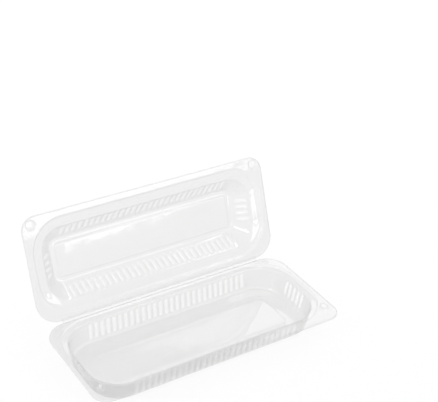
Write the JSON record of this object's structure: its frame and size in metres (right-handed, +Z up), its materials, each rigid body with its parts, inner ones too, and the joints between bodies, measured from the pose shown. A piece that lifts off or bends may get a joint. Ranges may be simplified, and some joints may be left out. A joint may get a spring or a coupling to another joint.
{
  "type": "hinged clear plastic pack",
  "caption": "Long clear thermoformed clamshell: deep tray with turned-down rim, fluted walls and corner lugs, and a fluted lid on a living hinge, standing open",
  "frame": {"origin": "middle of the tray's flat underside, on the surface that the pack stands on", "axes": "+X along the hinge, +Y from the opening edge back to the hinge, +Z up"},
  "size_m": [0.24, 0.1501, 0.1111],
  "materials": {
    "tray": "clear thermoformed PET sheet",
    "lid": "clear thermoformed PET sheet"
  },
  "bodies": {
    "tray": {"tray": "tray"},
    "lid": {"lid": "lid"}
  },
  "joints": [
    {"name": "lid_hinge", "type": "hinge", "parent": "tray", "child": "lid", "pos_m": [0, 0.04975, 0.02215], "axis": [1, 0, 0], "range_deg": [-68, 112]}
  ]
}
